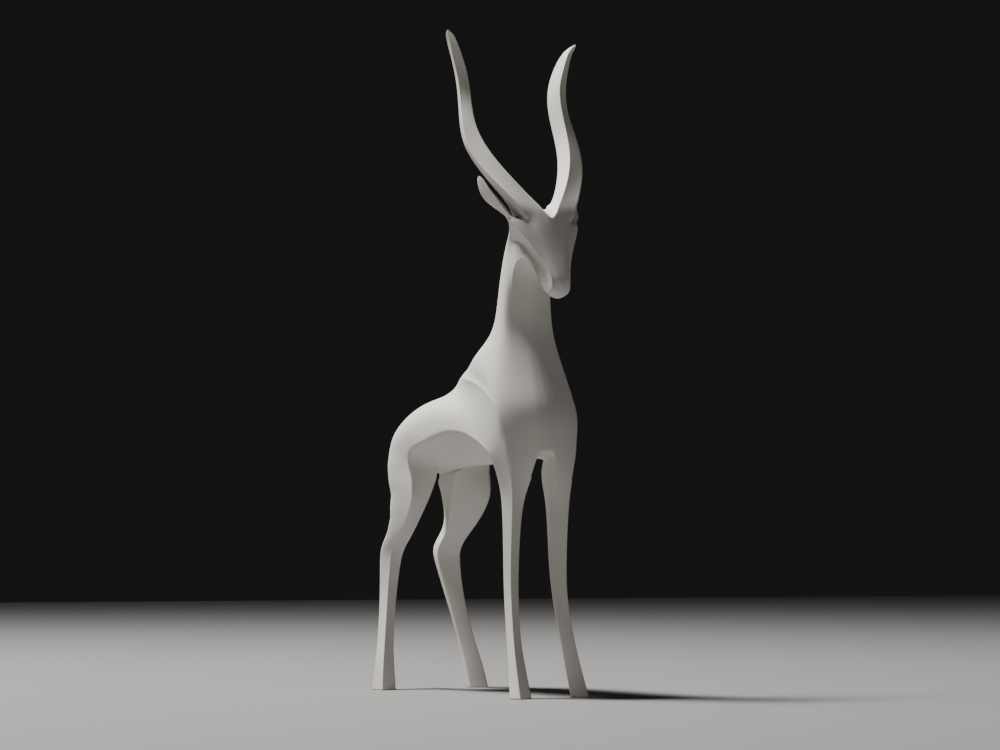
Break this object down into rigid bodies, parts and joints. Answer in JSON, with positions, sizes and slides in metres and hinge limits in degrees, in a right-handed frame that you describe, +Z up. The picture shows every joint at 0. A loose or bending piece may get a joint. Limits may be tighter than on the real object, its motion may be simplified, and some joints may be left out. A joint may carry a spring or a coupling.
{
  "type": "impala figurine",
  "caption": "Stylised standing impala figurine in matte off-white, with tall lyre-shaped horns, a mask-like face and splayed flat-soled legs",
  "frame": {"origin": "on the floor, under the middle of the bounding box, level with the four soles", "axes": "+X to the animal's left, -Y the way it looks, +Z up; the body is symmetric about X = 0"},
  "size_m": [0.0686, 0.1398, 0.3002],
  "materials": {
    "matte_white": "matte"
  },
  "bodies": {
    "root": {"trunk": "matte_white", "neck": "matte_white", "head": "matte_white", "horn_right": "matte_white", "horn_left": "matte_white", "ear_right": "matte_white", "ear_left": "matte_white", "foreleg_right": "matte_white", "foreleg_left": "matte_white", "hindleg_right": "matte_white", "hindleg_left": "matte_white"}
  },
  "joints": []
}
